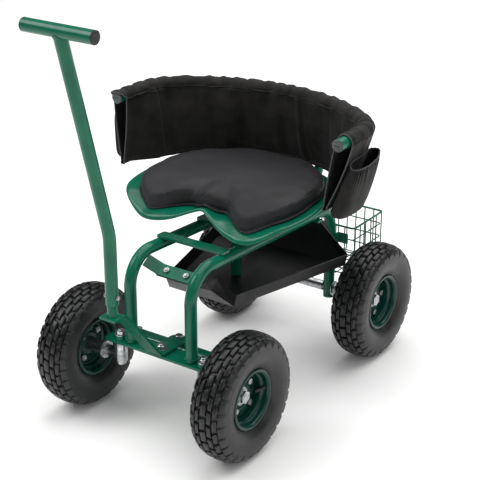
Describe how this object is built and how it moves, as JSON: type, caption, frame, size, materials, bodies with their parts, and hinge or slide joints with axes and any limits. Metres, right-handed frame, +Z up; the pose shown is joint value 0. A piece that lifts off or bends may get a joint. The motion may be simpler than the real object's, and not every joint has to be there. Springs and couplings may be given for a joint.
{
  "type": "rolling garden seat",
  "caption": "Low rolling work seat on pneumatic wheels with a steered front axle and pull handle, swivel height-adjustable seat, tool sleeve, sheet tray and wire basket.",
  "frame": {"origin": "on the floor under the middle of the whole outline", "axes": "+Z up, the pull handle points toward -Y, +X toward the seated person's left, who faces -Y"},
  "size_m": [0.637, 0.9258, 0.8845],
  "materials": {
    "green_paint": "gloss powder coat",
    "zinc_steel": "bright zinc plating",
    "rim_paint": "dark green gloss paint on pressed steel",
    "tyre_rubber": "moulded tread",
    "black_paint": "gloss black powder coat",
    "black_plastic": "moulded",
    "cushion_vinyl": "matte coated cloth",
    "sleeve_cloth": "woven nylon"
  },
  "bodies": {
    "chassis": {"frame_tube_left": "green_paint", "frame_tube_right": "green_paint", "front_beam": "green_paint", "front_crossbar": "green_paint", "front_strap": "green_paint", "rear_strap": "green_paint", "seat_cross_plate": "green_paint", "seat_column": "green_paint", "rear_axle_tube": "green_paint", "rear_axle": "zinc_steel", "tool_tray": "black_paint", "tray_bolts": "zinc_steel", "basket_front": "green_paint", "basket_back": "green_paint", "basket_left": "green_paint", "basket_right": "green_paint", "basket_floor": "green_paint", "basket_brackets": "green_paint", "pivot_bolt": "zinc_steel", "kingpins": "zinc_steel"},
    "steering": {"steering_lever": "green_paint", "lever_bolt": "zinc_steel", "handle_shaft": "green_paint", "handle_bolt": "zinc_steel", "handle_grip": "green_paint", "grip_plugs": "black_plastic"},
    "tie_rod": {"tie_rod": "zinc_steel"},
    "knuckle_left": {"knuckle_left": "zinc_steel"},
    "knuckle_right": {"knuckle_right": "zinc_steel"},
    "post": {"seat_post": "zinc_steel"},
    "seat": {"swivel_plate": "green_paint", "seat_pan": "green_paint", "seat_cushion": "cushion_vinyl", "back_uprights": "green_paint", "back_rail": "green_paint", "back_rail_plugs": "green_paint", "tool_sleeve": "sleeve_cloth", "pocket_left": "sleeve_cloth", "pocket_right": "sleeve_cloth"},
    "wheel_front_left": {"tyre_front_left": "tyre_rubber", "rim_front_left": "rim_paint", "hub_front_left": "zinc_steel", "bolts_front_left": "zinc_steel"},
    "wheel_front_right": {"tyre_front_right": "tyre_rubber", "rim_front_right": "rim_paint", "hub_front_right": "zinc_steel", "bolts_front_right": "zinc_steel"},
    "wheel_rear_left": {"tyre_rear_left": "tyre_rubber", "rim_rear_left": "rim_paint", "hub_rear_left": "zinc_steel", "bolts_rear_left": "zinc_steel"},
    "wheel_rear_right": {"tyre_rear_right": "tyre_rubber", "rim_rear_right": "rim_paint", "hub_rear_right": "zinc_steel", "bolts_rear_right": "zinc_steel"}
  },
  "joints": [
    {"name": "steer", "type": "hinge", "parent": "chassis", "child": "steering", "pos_m": [0, -0.20291, 0.163], "axis": [0, 0, 1], "range_deg": [-35, 35]},
    {"name": "tie_rod_turn", "type": "hinge", "parent": "steering", "child": "tie_rod", "pos_m": [0, -0.14491, 0.158], "axis": [0, 0, 1], "range_deg": [-35, 35]},
    {"name": "knuckle_left_turn", "type": "hinge", "parent": "chassis", "child": "knuckle_left", "pos_m": [-0.105, -0.20291, 0.14], "axis": [0, 0, 1], "range_deg": [-35, 35]},
    {"name": "knuckle_right_turn", "type": "hinge", "parent": "chassis", "child": "knuckle_right", "pos_m": [0.105, -0.20291, 0.14], "axis": [0, 0, 1], "range_deg": [-35, 35]},
    {"name": "spin_front_left", "type": "hinge", "parent": "knuckle_left", "child": "wheel_front_left", "pos_m": [-0.194, -0.20291, 0.13], "axis": [1, 0, 0], "continuous": true},
    {"name": "spin_front_right", "type": "hinge", "parent": "knuckle_right", "child": "wheel_front_right", "pos_m": [0.194, -0.20291, 0.13], "axis": [1, 0, 0], "continuous": true},
    {"name": "spin_rear_left", "type": "hinge", "parent": "chassis", "child": "wheel_rear_left", "pos_m": [-0.188, 0.31709, 0.13], "axis": [1, 0, 0], "continuous": true},
    {"name": "spin_rear_right", "type": "hinge", "parent": "chassis", "child": "wheel_rear_right", "pos_m": [0.188, 0.31709, 0.13], "axis": [1, 0, 0], "continuous": true},
    {"name": "seat_height", "type": "slide", "parent": "chassis", "child": "post", "axis": [0, 0, 1], "range_m": [0, 0.1]},
    {"name": "seat_swivel", "type": "hinge", "parent": "post", "child": "seat", "pos_m": [0, 0.05709, 0.4], "axis": [0, 0, 1], "continuous": true}
  ],
  "couplings": [
    {"joint": "tie_rod_turn", "follows": "steer", "ratio": -1},
    {"joint": "knuckle_left_turn", "follows": "steer", "ratio": 1},
    {"joint": "knuckle_right_turn", "follows": "steer", "ratio": 1}
  ]
}
